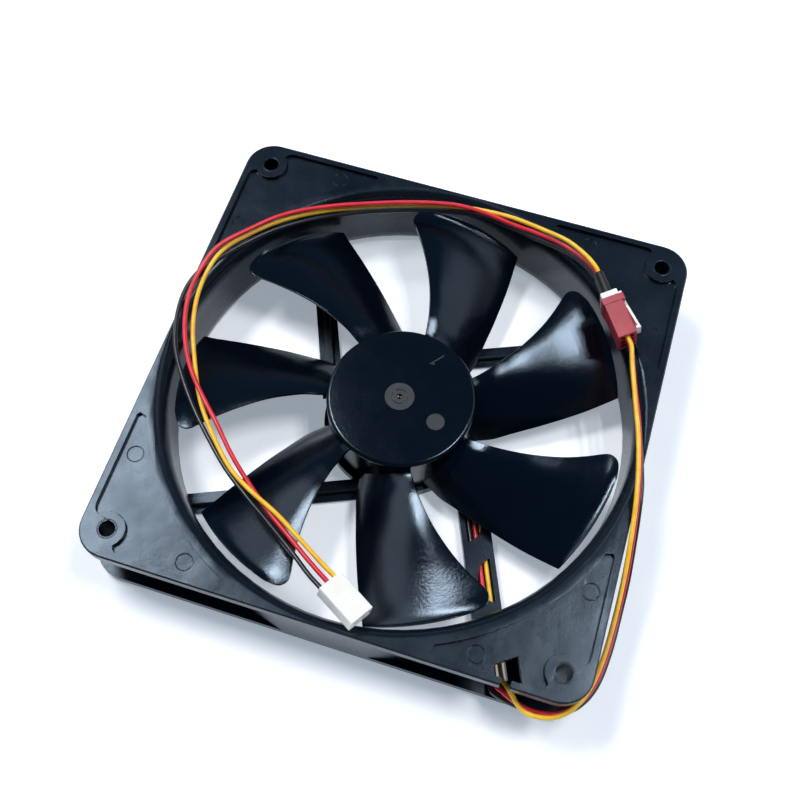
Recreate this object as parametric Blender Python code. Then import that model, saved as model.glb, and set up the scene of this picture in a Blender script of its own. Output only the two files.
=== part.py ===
"""A 140 mm computer case fan with its three-wire lead, and an extension lead plugged into it.

The fan lies on its back: +Z is the fan's axis and points out of the front (intake) face, the
rear face stands on Z = 0, and the middle of the rear face is the origin.
"""

import math

import bmesh
import bpy
from mathutils import Matrix, Vector

MM = 0.001  # every size below is in millimetres

# Frame
SIDE = 140.0
DEPTH = 25.0
CORNER_RADIUS = 8.5
EDGE_CHAMFER = 0.4
HOLE_PITCH = 124.5
HOLE_DIAMETER = 4.5
HOLE_SEAT_RADIUS = 4.9
SCREW_POST_RADIUS = 3.9
FLANGE_THICKNESS = 4.0
DUCT_RADIUS = 66.3
DUCT_LIP_RADIUS = 69.6
DUCT_LIP_DEPTH = 6.0
DUCT_OUTSIDE_RADIUS = 71.1
POCKET_DEPTH = 1.3
POCKET_INNER_RADIUS = 71.5
POCKET_SIDE = 68.0

# Struts: each is a bar that passes the hub to one side of it
STRUT_DIRECTIONS = (23.0, 113.0, 203.0)
STRUT_OFFSET = 19.7
WIRE_STRUT_DIRECTION = -67.0
STRUT_TOP = 3.9
CHANNEL = (14.9, 21.3)
CHANNEL_ROOF = 3.2

# Motor base, moulded with the frame
BASE_RADIUS = 23.0
BAY_RADIUS = 21.6

# Impeller
HUB_RADIUS = 21.5
HUB_FACE = 21.0
HUB_BOTTOM = 4.6
BLADE_COUNT = 7
BLADE_TIP_RADIUS = 64.5
BLADE_ROOT_RADIUS = 20.8
BLADE_THICKNESS = 1.5
BLADE_EDGE_THICKNESS = 0.7

# Wires
WIRE_DIAMETER = 1.3
WIRE_STEP = 3.6
WIRE_PITCH = 2.5

# Connectors: middle of each housing, then its yaw and roll in degrees
PIN_CONNECTOR = ((53.55, 37.27, 29.9), -55.7, 12.0)
END_CONNECTOR = ((4.25, -62.1, 27.6), -30.0, -16.0)


# ---------------------------------------------------------------- shapes

def ring_points(radius, start, stop, steps):
    """Points on an arc about the origin, the angles in degrees and both ends included."""
    points = []
    for step in range(steps + 1):
        angle = math.radians(start + (stop - start) * step / steps)
        points.append((radius * math.cos(angle), radius * math.sin(angle)))
    return points


def rounded_rectangle(half_x, half_y, radius, steps=6):
    points = []
    centres = ((1, 1), (-1, 1), (-1, -1), (1, -1))
    for quarter, (sign_x, sign_y) in enumerate(centres):
        for x, y in ring_points(radius, 90 * quarter, 90 * quarter + 90, steps):
            points.append((sign_x * (half_x - radius) + x, sign_y * (half_y - radius) + y))
    return points


def stack(layers):
    """A solid through outlines that hold the same number of points, each at its own height."""
    points = []
    faces = []
    count = len(layers[0][0])
    for outline, height in layers:
        points += [(x, y, height) for x, y in outline]
    for level in range(len(layers) - 1):
        for i in range(count):
            a = level * count + i
            b = level * count + (i + 1) % count
            faces.append((a, b, b + count, a + count))
    faces.append(tuple(reversed(range(count))))
    faces.append(tuple(range(len(points) - count, len(points))))
    return points, faces


def extrude(outline, bottom, top):
    return stack([(outline, bottom), (outline, top)])


def block(low, high):
    (x0, y0, z0), (x1, y1, z1) = low, high
    return extrude([(x0, y0), (x1, y0), (x1, y1), (x0, y1)], z0, z1)


def cylinder(radius, bottom, top, centre=(0.0, 0.0), steps=24):
    circle = ring_points(radius, 0, 360, steps)[:-1]
    return extrude([(x + centre[0], y + centre[1]) for x, y in circle], bottom, top)


def turn(profile, steps=64):
    """A closed (radius, height) profile turned round the Z axis."""
    points = []
    rings = []
    for radius, height in profile:
        if radius == 0:
            rings.append([len(points)] * steps)
            points.append((0.0, 0.0, height))
            continue
        rings.append([len(points) + i for i in range(steps)])
        circle = ring_points(radius, 0, 360, steps)[:-1]
        points += [(x, y, height) for x, y in circle]
    faces = []
    for lower, upper in zip(rings, rings[1:] + rings[:1]):
        for i in range(steps):
            j = (i + 1) % steps
            corners = (lower[i], lower[j], upper[j], upper[i])
            face = tuple(dict.fromkeys(corners))
            if len(face) > 2:
                faces.append(face)
    return points, faces


def along_x(profile, start, stop):
    """A (y, z) profile pushed along X."""
    points, faces = extrude(profile, start, stop)
    return [(z, x, y) for x, y, z in points], faces


def placed(shape, matrix):
    points, faces = shape
    return [tuple(matrix @ Vector(point)) for point in points], faces


def turned_by(shape, degrees):
    return placed(shape, Matrix.Rotation(math.radians(degrees), 4, "Z"))


def together(*shapes):
    """Several shapes as one mesh."""
    points = []
    faces = []
    for shape_points, shape_faces in shapes:
        start = len(points)
        points += shape_points
        faces += [tuple(start + i for i in face) for face in shape_faces]
    return points, faces


def quarters(shape):
    return together(*[turned_by(shape, 90 * i) for i in range(4)])


# ---------------------------------------------------------------- objects

def make_material(name, colour, roughness, metallic=0.0):
    material = bpy.data.materials.new(name)
    material.use_nodes = True
    shader = material.node_tree.nodes["Principled BSDF"]
    shader.inputs["Base Color"].default_value = (*colour, 1.0)
    shader.inputs["Roughness"].default_value = roughness
    shader.inputs["Metallic"].default_value = metallic
    return material


def add_solid(name, shape, material, frame=None):
    """An object from a shape in millimetres, with its normals outward and its round sides smooth."""
    points, faces = shape
    mesh = bpy.data.meshes.new(name)
    mesh.from_pydata([Vector(point) * MM for point in points], [], faces)
    shell = bmesh.new()
    shell.from_mesh(mesh)
    bmesh.ops.recalc_face_normals(shell, faces=shell.faces)
    shell.to_mesh(mesh)
    shell.free()
    mesh.shade_smooth()
    mesh.set_sharp_from_angle(angle=math.radians(35))
    mesh.materials.append(material)
    solid = bpy.data.objects.new(name, mesh)
    bpy.context.scene.collection.objects.link(solid)
    solid.parent = frame
    return solid


def boolean(solid, operation, name, shape):
    """Adds a Boolean with a hidden helper that holds the shape."""
    helper = add_solid(solid.name + "_" + name, shape, solid.data.materials[0], solid.parent)
    helper.location = solid.location
    helper.hide_render = True
    helper.display_type = "WIRE"
    step = solid.modifiers.new(name, "BOOLEAN")
    step.operation = operation
    step.solver = "EXACT"
    step.object = helper
    return helper


def cut(solid, name, shape):
    return boolean(solid, "DIFFERENCE", name, shape)


def join(solid, name, shape):
    return boolean(solid, "UNION", name, shape)


def add_frame(name, middle, yaw, roll):
    """An empty that carries a connector: its X runs along the wires."""
    frame = bpy.data.objects.new(name, None)
    frame.empty_display_size = 0.01
    frame.location = Vector(middle) * MM
    frame.rotation_euler = (math.radians(roll), 0.0, math.radians(yaw))
    bpy.context.scene.collection.objects.link(frame)
    return frame


def smooth_route(points, step):
    """Points about one step apart on a smooth curve through the route points."""
    points = [Vector(point) for point in points]
    ends = [2 * points[0] - points[1]] + points + [2 * points[-1] - points[-2]]
    fine = []
    for a, b, c, d in zip(ends, ends[1:], ends[2:], ends[3:]):
        for part in range(16):
            t = part / 16
            fine.append(
                0.5 * (2 * b + (c - a) * t + (2 * a - 5 * b + 4 * c - d) * t ** 2
                       + (3 * b - a - 3 * c + d) * t ** 3)
            )
    fine.append(points[-1])
    walked = [0.0]
    for a, b in zip(fine, fine[1:]):
        walked.append(walked[-1] + (b - a).length)
    count = round(walked[-1] / step)
    route = []
    at = 0
    for i in range(count + 1):
        distance = walked[-1] * i / count
        while at < len(walked) - 2 and walked[at + 1] < distance:
            at += 1
        share = (distance - walked[at]) / (walked[at + 1] - walked[at])
        route.append(fine[at].lerp(fine[at + 1], min(share, 1.0)))
    return route


def add_wire(name, route, material):
    curve = bpy.data.curves.new(name, "CURVE")
    curve.dimensions = "3D"
    curve.bevel_depth = WIRE_DIAMETER / 2 * MM
    curve.bevel_resolution = 2
    curve.use_fill_caps = True
    points = smooth_route(route, WIRE_STEP)
    spline = curve.splines.new("POLY")
    spline.points.add(len(points) - 1)
    for place, point in zip(spline.points, points):
        place.co = (*(point * MM), 1.0)
    spline.use_smooth = True
    curve.materials.append(material)
    wire = bpy.data.objects.new(name, curve)
    bpy.context.scene.collection.objects.link(wire)
    return wire


# ---------------------------------------------------------------- the frame

def rounded_square(inset):
    half = SIDE / 2 - inset
    return rounded_rectangle(half, half, CORNER_RADIUS - inset, 8)


def duct_profile():
    """The hole through the frame: a straight bore that flares at both faces."""
    flare = []
    for radius, height in ring_points(1.0, 0, 90, 5):
        flare.append((DUCT_LIP_RADIUS - (DUCT_LIP_RADIUS - DUCT_RADIUS) * height,
                      DUCT_LIP_DEPTH * (1 - radius)))
    profile = [(0.0, -1.0), (DUCT_LIP_RADIUS, -1.0)]
    for radius, height in flare:
        profile.append((radius, height))
    for radius, height in reversed(flare):
        profile.append((radius, DEPTH - height))
    profile += [(DUCT_LIP_RADIUS, DEPTH + 1.0), (0.0, DEPTH + 1.0)]
    return profile


def corner_gap():
    """The open space behind a corner, between the two flanges."""
    outline = ring_points(DUCT_OUTSIDE_RADIUS, 5, 85, 20)
    reach = SIDE / 2 + 10
    outline += [(outline[-1][0], reach), (reach, reach), (reach, outline[0][1])]
    return extrude(outline, FLANGE_THICKNESS, DEPTH - FLANGE_THICKNESS)


def corner_pocket():
    """The shallow pocket of a front corner, which leaves the screw seat level with the face."""
    hole = HOLE_PITCH / 2
    seat = ring_points(HOLE_SEAT_RADIUS, -40, -230, 14)
    near = [(POCKET_SIDE, 29.2), (POCKET_SIDE, 56.6), (67.6, 57.9), (66.9, 58.7)]
    far = [(y, x) for x, y in reversed(near)]
    rim = ring_points(POCKET_INNER_RADIUS, 66.0, 24.0, 14)
    outline = near + [(hole + x, hole + y) for x, y in seat] + far
    outline += [(28.4, 67.3)] + rim + [(67.3, 28.4)]
    return extrude(outline, DEPTH - POCKET_DEPTH, DEPTH + 1.0)


def ejector_marks():
    """The shallow round marks on both sides of a corner pocket's floor."""
    floor = DEPTH - POCKET_DEPTH
    marks = [(39.7, 64.2), (64.1, 40.0)]
    return together(*[cylinder(2.3, floor - 0.15, floor + 0.1, mark) for mark in marks])


def window(flat_side, bulge, start, stop):
    """A D-shaped window in the roof of the wire strut."""
    middle = (start + stop) / 2
    outline = []
    for x, y in ring_points(1.0, 0, 180, 12):
        outline.append((middle + x * (stop - start) / 2, flat_side + y * (bulge - flat_side)))
    return extrude(outline, 2.6, STRUT_TOP + 0.6)


def plain_strut():
    profile = [(-3.2, 0.5), (3.2, 0.5), (3.2, 1.3), (1.3, 1.3), (0.9, STRUT_TOP),
               (-0.9, STRUT_TOP), (-1.3, 1.3), (-3.2, 1.3)]
    return along_x([(y + STRUT_OFFSET, z) for y, z in profile], 10.6, 67.8)


def wire_strut():
    """A trough turned upside down, wide enough for the three wires."""
    left, right = CHANNEL[0] - 1.1, CHANNEL[1] + 1.1
    profile = [(left, 0.4), (left + 1.0, 0.4), (left + 1.0, 3.25), (right - 1.0, 3.25),
               (right - 1.0, 0.4), (right, 0.4), (right, STRUT_TOP), (left, STRUT_TOP)]
    return along_x(profile, 15.0, 69.0)


def wire_way():
    """What the wires' way takes out of the motor base, the duct wall and the rear flange."""
    low, high = CHANNEL
    under_roof = [(10.4, low), (8.4, 20.2), (8.4, high), (76.0, high), (76.0, low)]
    behind_duct = block((70.5, low, -1.0), (79.0, high, FLANGE_THICKNESS + 0.6))
    return extrude(under_roof, -1.0, CHANNEL_ROOF), behind_duct


def lead_window():
    """The opening in one front corner through which the lead can be seen, and its side slot."""
    outline = [(44.9, -65.1), (50.4, -61.3), (53.0, -67.7), (50.3, -67.9), (50.3, -71.0),
               (47.6, -71.0), (47.6, -68.0), (46.0, -68.1)]
    return extrude(outline, DEPTH - FLANGE_THICKNESS - 0.5, DEPTH + 1.0)


def motor_base():
    return turn([(4.2, 0.5), (19.5, 0.5), (19.5, 0.0), (BASE_RADIUS, 0.0), (BASE_RADIUS, 3.4),
                 (BAY_RADIUS, 3.4), (BAY_RADIUS, 1.3), (4.2, 1.3)])


def build_frame(plastic):
    layers = [(rounded_square(EDGE_CHAMFER), 0.0), (rounded_square(0), EDGE_CHAMFER),
              (rounded_square(0), DEPTH - EDGE_CHAMFER), (rounded_square(EDGE_CHAMFER), DEPTH)]
    frame = add_solid("fan_frame", stack(layers), plastic)
    cut(frame, "duct", turn(duct_profile(), 80))
    cut(frame, "corner_gaps", quarters(corner_gap()))
    cut(frame, "pockets", quarters(corner_pocket()))
    cut(frame, "ejector_marks", quarters(ejector_marks()))
    corner = (HOLE_PITCH / 2, HOLE_PITCH / 2)
    post = cylinder(SCREW_POST_RADIUS, FLANGE_THICKNESS - 0.5, DEPTH - FLANGE_THICKNESS + 0.5,
                    corner, 32)
    join(frame, "screw_posts", quarters(post))
    hole = cylinder(HOLE_DIAMETER / 2, -1.0, DEPTH + 1.0, corner)
    cut(frame, "screw_holes", quarters(hole))
    struts = [turned_by(plain_strut(), angle) for angle in STRUT_DIRECTIONS]
    join(frame, "struts", together(*struts))
    join(frame, "wire_strut", turned_by(wire_strut(), WIRE_STRUT_DIRECTION))
    cut(frame, "motor_bay", cylinder(BAY_RADIUS + 0.5, -1.0, 6.0, steps=64))
    join(frame, "motor_base", motor_base())
    under_roof, behind_duct = wire_way()
    cut(frame, "wire_channel", turned_by(under_roof, WIRE_STRUT_DIRECTION))
    cut(frame, "wire_notch", turned_by(behind_duct, WIRE_STRUT_DIRECTION))
    windows = together(window(15.4, 20.0, 28.0, 39.5), window(20.9, 16.9, 45.0, 57.5))
    cut(frame, "wire_windows", turned_by(windows, WIRE_STRUT_DIRECTION))
    cut(frame, "lead_window", lead_window())
    bridges = together(block((27.2, 14.3, 0.5), (40.6, 21.9, 1.3)),
                       block((44.0, 14.3, 0.5), (58.8, 21.9, 1.3)))
    join(frame, "wire_bridges", turned_by(bridges, WIRE_STRUT_DIRECTION))


# ---------------------------------------------------------------- the impeller

# Radius, then the angle and height of the leading edge and of the trailing edge of one blade
BLADE_STATIONS = (
    (20.8, -65.8, 17.3, -106.0, 4.9),
    (24.0, -64.8, 17.5, -102.5, 5.1),
    (28.0, -63.7, 18.3, -99.5, 5.6),
    (32.0, -62.2, 18.6, -95.9, 6.4),
    (36.0, -60.7, 18.9, -93.1, 7.0),
    (40.0, -59.1, 19.0, -90.9, 7.5),
    (45.0, -57.0, 19.0, -88.5, 8.0),
    (50.0, -54.9, 19.1, -86.5, 8.5),
    (55.0, -52.7, 19.5, -84.7, 9.1),
    (60.0, -50.6, 20.0, -83.0, 9.9),
    (62.4, -50.9, 20.0, -82.3, 10.4),
    (63.8, -52.4, 20.0, -81.9, 10.8),
    (BLADE_TIP_RADIUS, -55.6, 19.9, -81.7, 11.0),
)
BLADE_SHARES = (0.0, 0.12, 0.3, 0.5, 0.7, 0.86, 1.0)


def blade():
    """One blade: sections at several radii, each a thin curved strip from edge to edge."""
    front = []
    back = []
    for radius, lead_angle, lead_height, trail_angle, trail_height in BLADE_STATIONS:
        middle_line = []
        for share in BLADE_SHARES:
            fall = 0.4 * share + 0.6 * share ** 2.2
            angle = math.radians(lead_angle + (trail_angle - lead_angle) * share)
            middle_line.append((angle, lead_height + (trail_height - lead_height) * fall))
        for i, share in enumerate(BLADE_SHARES):
            before = middle_line[max(i - 1, 0)]
            after = middle_line[min(i + 1, len(middle_line) - 1)]
            run = radius * (after[0] - before[0])
            rise = after[1] - before[1]
            length = math.hypot(run, rise)
            full = min(1.0, 5 * share + 0.3, 5 * (1 - share) + 0.3)
            half = (BLADE_EDGE_THICKNESS + (BLADE_THICKNESS - BLADE_EDGE_THICKNESS) * full) / 2
            angle, height = middle_line[i]
            for side, sign in ((front, 1), (back, -1)):
                turned = angle + sign * half * rise / length / radius
                side.append((radius * math.cos(turned), radius * math.sin(turned),
                             height - sign * half * run / length))
    columns = len(BLADE_SHARES)
    rows = len(BLADE_STATIONS)
    loop = list(range(columns)) + [len(front) + i for i in reversed(range(columns))]
    faces = []
    for row in range(rows - 1):
        for i, j in zip(loop, loop[1:] + loop[:1]):
            a, b = i + row * columns, j + row * columns
            faces.append((a, b, b + columns, a + columns))
    last = (rows - 1) * columns
    for i in range(columns - 1):
        top = len(front)
        faces.append((i, i + 1, top + i + 1, top + i))
        faces.append((last + i, last + i + 1, last + top + i + 1, last + top + i))
    return front + back, faces


def build_impeller(plastic):
    hub = turn([(20.2, HUB_BOTTOM), (HUB_RADIUS, HUB_BOTTOM), (HUB_RADIUS, 19.7), (21.35, 20.35),
                (20.95, 20.8), (20.3, HUB_FACE), (0.0, HUB_FACE), (0.0, 19.4), (1.8, 19.4),
                (1.8, 16.4), (3.5, 16.4), (3.5, 19.4), (20.2, 19.4)], 56)
    impeller = add_solid("impeller", hub, plastic)
    for number in range(BLADE_COUNT):
        join(impeller, f"blade_{number + 1}", turned_by(blade(), 360 / BLADE_COUNT * number))


# ---------------------------------------------------------------- the motor

def star(ring, arm, inner, outer, spread):
    """The outline of a four-armed stator sheet, with a curved shoe on each arm."""
    outline = []
    root = math.degrees(math.asin(arm / ring))
    neck = math.sqrt(inner ** 2 - arm ** 2)
    for quarter in range(4):
        turned = math.radians(90 * quarter)
        shoe = [(math.sqrt(ring ** 2 - arm ** 2), -arm), (neck, -arm)]
        shoe += ring_points(inner, -math.degrees(math.asin(arm / inner)), -spread, 4)[1:]
        shoe += ring_points(outer, -spread, spread, 10)
        shoe += ring_points(inner, spread, math.degrees(math.asin(arm / inner)), 4)[:-1]
        shoe += [(neck, arm), (math.sqrt(ring ** 2 - arm ** 2), arm)]
        shoe += ring_points(ring, root, 90 - root, 3)[1:-1]
        for x, y in shoe:
            outline.append((x * math.cos(turned) - y * math.sin(turned),
                            x * math.sin(turned) + y * math.cos(turned)))
    return outline


def add_sheet(name, bottom, top, material):
    sheet = add_solid(name, extrude(star(6.5, 1.6, 13.5, 16.0, 38), bottom, top), material)
    cut(sheet, "bore", cylinder(4.2, bottom - 1, top + 1, steps=32))


def coil():
    """One winding: a block round an arm of the stator."""
    outside = rounded_rectangle(4.3, 5.3, 1.2, 3)
    inside = rounded_rectangle(1.9, 4.0, 0.4, 3)
    middle = 10.5
    raised = [[(y, z + middle) for y, z in outline] for outline in (outside, inside)]
    return along_x(raised[0], 7.0, 12.7), along_x(raised[1], 6.0, 13.7)


def build_motor(steel, iron, copper, board_green, white, black, bronze, rubber, paper):
    add_solid("rear_label", cylinder(18.0, 0.0, 0.25, steps=48), paper)
    add_solid("bearing_cap", cylinder(2.8, 0.9, 1.6, steps=24), black)
    add_solid("bearing_tube", turn([(3.1, 0.8), (3.9, 0.8), (3.9, 15.6), (3.1, 15.6)], 32), bronze)
    add_solid("sleeve_bearing", turn([(1.8, 3.4), (2.8, 3.4), (2.8, 15.0), (1.8, 15.0)], 32),
              bronze)
    add_solid("thrust_washer", turn([(1.8, 15.3), (2.6, 15.3), (2.6, 16.1), (1.8, 16.1)], 32),
              white)
    add_solid("motor_shaft", turn([(0.0, 1.9), (1.2, 1.9), (1.5, 2.2), (1.5, 2.5), (1.1, 2.5),
                                   (1.1, 3.1), (1.5, 3.1), (1.5, 19.1), (0.0, 19.1)], 24), steel)
    add_solid("retaining_clip", turn([(1.4, 2.6), (2.7, 2.6), (2.7, 3.0), (1.4, 3.0)], 24), steel)
    add_solid("circuit_board", turn([(4.6, 3.4), (17.5, 3.4), (17.5, 4.6), (4.6, 4.6)], 48),
              board_green)
    add_solid("driver_chip", turned_by(block((9.0, -2.5, 1.7), (13.0, 2.5, 3.1)), 135), black)
    add_solid("hall_sensor", turned_by(block((13.9, -1.7, 4.9), (15.9, 1.7, 6.2)), 45), black)
    add_solid("capacitor", cylinder(1.4, 4.9, 8.9, (-8.2, 8.2)), steel)
    add_sheet("lower_insulator", 6.8, 7.4, white)
    add_sheet("stator_core", 7.7, 13.3, iron)
    add_sheet("upper_insulator", 13.6, 14.2, white)
    for number in range(4):
        outside, inside = (turned_by(shape, 90 * number) for shape in coil())
        winding = add_solid(f"coil_{number + 1}", outside, copper)
        cut(winding, "core_hole", inside)
    add_solid("magnet_ring", turn([(16.8, 7.0), (18.8, 7.0), (18.8, 17.5), (16.8, 17.5)], 56),
              rubber)
    add_solid("rotor_yoke", turn([(19.1, 5.6), (19.9, 5.6), (19.9, 19.1), (3.8, 19.1),
                                  (3.8, 18.3), (19.1, 18.3)], 56), steel)


# ---------------------------------------------------------------- the connectors

def square_tube(outer, inner, start, stop, at_z):
    def square(half):
        return [(-half, -half), (half, -half), (half, half), (-half, half)]

    outside = along_x([(y, z + at_z) for y, z in square(outer)], start, stop)
    inside = along_x([(y, z + at_z) for y, z in square(inner)], start - 1, stop + 1)
    return outside, inside


def bore(radius, start, stop, at_y=0.0, at_z=0.0):
    circle = ring_points(radius, 0, 360, 16)[:-1]
    return along_x([(y + at_y, z + at_z) for y, z in circle], start, stop)


def soft_block(low, high, radius):
    """A block whose long edges are rounded."""
    (x0, y0, z0), (x1, y1, z1) = low, high
    profile = rounded_rectangle((y1 - y0) / 2, (z1 - z0) / 2, radius, 3)
    middle_y, middle_z = (y0 + y1) / 2, (z0 + z1) / 2
    return along_x([(y + middle_y, z + middle_z) for y, z in profile], x0, x1)


def build_pin_connector(red, white, steel, sleeve_black):
    """The fan's own housing with its pins, and the extension's plug pushed into it."""
    frame = add_frame("pin_connector_frame", *PIN_CONNECTOR)
    heights = [WIRE_PITCH, 0.0, -WIRE_PITCH]

    housing = add_solid("pin_housing", soft_block((-5.4, -2.75, -4.55), (6.3, 2.75, 4.55), 0.4),
                        red, frame)
    join(housing, "collar", soft_block((-6.4, -3.0, -4.75), (-4.4, 3.6, 4.75), 0.4))
    cut(housing, "latch_slot", block((-7.0, 2.76, -2.3), (-4.0, 4.5, 2.3)))
    cut(housing, "socket", block((-7.0, -2.0, -3.9), (1.5, 2.0, 3.9)))
    cells = [block((1.0, -1.9, z - 1.0), (7.0, 1.9, z + 1.0)) for z in heights]
    cut(housing, "wire_cells", together(*cells))

    plug = add_solid("plug_housing", soft_block((-8.4, -2.5, -4.3), (-6.7, 2.5, 4.3), 0.4),
                     white, frame)
    join(plug, "nose", block((-7.2, -1.6, -3.5), (1.1, 1.6, 3.5)))
    join(plug, "latch_root", block((-8.2, 2.0, -2.0), (-6.7, 3.8, 2.0)))
    bores = [along_x([(-0.95, z - 0.95), (0.95, z - 0.95), (0.95, z + 0.95), (-0.95, z + 0.95)],
                     -9.0, 2.0) for z in heights]
    cut(plug, "bores", together(*bores))

    lever = [(-6.4, 3.1), (-4.1, 3.1), (3.6, 3.95), (3.6, 3.45), (4.5, 3.45), (4.5, 4.8),
             (-4.1, 3.85), (-6.4, 3.8)]
    hinge_x, hinge_y = -5.2, 3.45
    outline = [(x - hinge_x, y - hinge_y) for x, y in lever]
    latch = add_solid("latch_lever", extrude(outline, -2.0, 2.0), white, frame)
    latch.location = (hinge_x * MM, hinge_y * MM, 0.0)

    for number, z in enumerate(heights, 1):
        pin = add_solid(f"pin_contact_{number}",
                        block((-4.5, -0.3, z - 0.3), (2.2, 0.3, z + 0.3)), steel, frame)
        join(pin, "barrel", block((1.9, -0.5, z - 0.5), (3.7, 0.5, z + 0.5)))
        outside, inside = square_tube(0.75, 0.5, -6.1, 0.8, z)
        socket = add_solid(f"socket_contact_{number}", outside, steel, frame)
        cut(socket, "pin_way", inside)

    sleeve = add_solid("heat_shrink_sleeve", soft_block((-15.6, -1.35, -3.85), (-8.7, 1.35, 3.85),
                                                        1.3), sleeve_black, frame)
    cut(sleeve, "inside", soft_block((-16.0, -0.95, -3.45), (-8.0, 0.95, 3.45), 0.9))


def build_end_connector(white, steel):
    """The white housing on the far end of the extension lead."""
    frame = add_frame("end_connector_frame", *END_CONNECTOR)
    rows = [WIRE_PITCH, 0.0, -WIRE_PITCH]
    housing = add_solid("end_housing", soft_block((-6.2, -3.7, -2.3), (6.2, 3.7, 2.3), 0.35),
                        white, frame)
    cut(housing, "wire_bores", together(*[bore(0.95, -7.0, -3.5, y) for y in rows]))
    ways = [block((-3.9, y - 0.95, -1.1), (7.0, y + 0.95, 1.1)) for y in rows]
    cut(housing, "terminal_ways", together(*ways))
    for number, y in enumerate(rows, 1):
        terminal = add_solid(f"end_terminal_{number}",
                             block((-3.7, y - 0.65, -0.8), (5.2, y + 0.65, 0.8)), steel, frame)
        cut(terminal, "socket", block((1.0, y - 0.4, -0.5), (6.0, y + 0.4, 0.5)))


# ---------------------------------------------------------------- the wires

def connector_point(connector, x, y, z):
    (middle, yaw, roll) = connector
    turn_about_z = Matrix.Rotation(math.radians(yaw), 3, "Z")
    turn_about_x = Matrix.Rotation(math.radians(roll), 3, "X")
    return tuple(Vector(middle) + turn_about_z @ turn_about_x @ Vector((x, y, z)))


def strut_point(along, offset, height):
    turned = Matrix.Rotation(math.radians(WIRE_STRUT_DIRECTION), 3, "Z")
    return tuple(turned @ Vector((along, offset, height)))


# The fan's own wires, from near the red housing, down past the frame's side, to the wire strut
MOTOR_ROUTES = {
    "yellow": [
        (59.6, 25.2, 31.3), (61.6, 19.0, 30.4), (63.7, 12.4, 29.8), (65.4, 7.1, 29.5),
        (66.9, 1.3, 29.3), (68.2, -5.0, 29.1), (69.2, -11.0, 28.6), (70.1, -16.8, 27.1),
        (70.9, -23.4, 25.2), (71.9, -32.2, 21.4), (72.2, -43.0, 19.1), (71.8, -53.8, 17.9),
        (70.4, -61.8, 17.3), (67.5, -68.4, 17.1), (63.3, -72.1, 17.0), (58.4, -73.3, 16.8),
        (54.7, -72.5, 16.2), (52.2, -70.1, 15.0), (50.2, -67.3, 11.0), (48.8, -65.0, 6.3),
        (47.6, -61.7, 3.3),
    ],
    "red": [
        (60.2, 25.8, 29.1), (62.4, 19.0, 28.4), (64.6, 12.6, 28.0), (66.4, 6.3, 27.8),
        (67.9, 0.2, 27.7), (69.2, -6.5, 27.5), (70.3, -13.0, 26.4), (71.5, -21.2, 23.8),
        (72.7, -31.4, 19.9), (73.0, -41.7, 17.5), (72.7, -52.6, 16.3), (71.2, -61.4, 15.8),
        (68.0, -67.5, 15.5), (63.5, -70.9, 15.3), (58.4, -71.9, 15.0), (54.1, -71.2, 14.4),
        (51.2, -70.0, 12.7), (49.2, -68.7, 10.5), (47.8, -67.8, 8.3), (47.0, -65.7, 5.0),
        (45.9, -62.2, 3.0),
    ],
    "black": [
        (60.4, 25.0, 26.7), (62.9, 18.3, 26.4), (65.5, 11.5, 26.2), (67.3, 5.0, 26.1),
        (69.0, -1.5, 26.1), (70.5, -8.0, 26.0), (71.5, -14.5, 24.7), (72.7, -23.4, 21.1),
        (73.6, -32.4, 18.0), (73.8, -41.7, 15.9), (73.6, -51.6, 14.8), (72.3, -60.6, 14.2),
        (69.2, -66.8, 13.9), (64.6, -70.4, 13.8), (59.3, -71.8, 13.4), (54.6, -71.6, 12.5),
        (51.2, -71.0, 11.0), (48.9, -70.2, 9.2), (47.1, -69.2, 7.5), (45.9, -67.3, 5.6),
        (44.9, -64.6, 3.8),
    ],
}

# Each wire's place in the channel, then how it turns to the circuit board at the end of it
CHANNEL_OFFSETS = {"yellow": 19.85, "red": 18.1, "black": 16.4}
BOARD_ENDS = {
    "yellow": [(16.0, 19.75), (13.2, 19.1), (10.8, 17.6), (9.2, 15.8), (8.2, 14.4)],
    "red": [(16.5, 17.9), (14.0, 17.1), (11.9, 15.6), (10.6, 13.8)],
    "black": [(17.0, 16.3), (15.0, 15.8), (13.3, 14.4), (12.4, 12.4), (12.2, 11.4)],
}
LANES = {"yellow": WIRE_PITCH, "red": 0.0, "black": -WIRE_PITCH}

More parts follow.
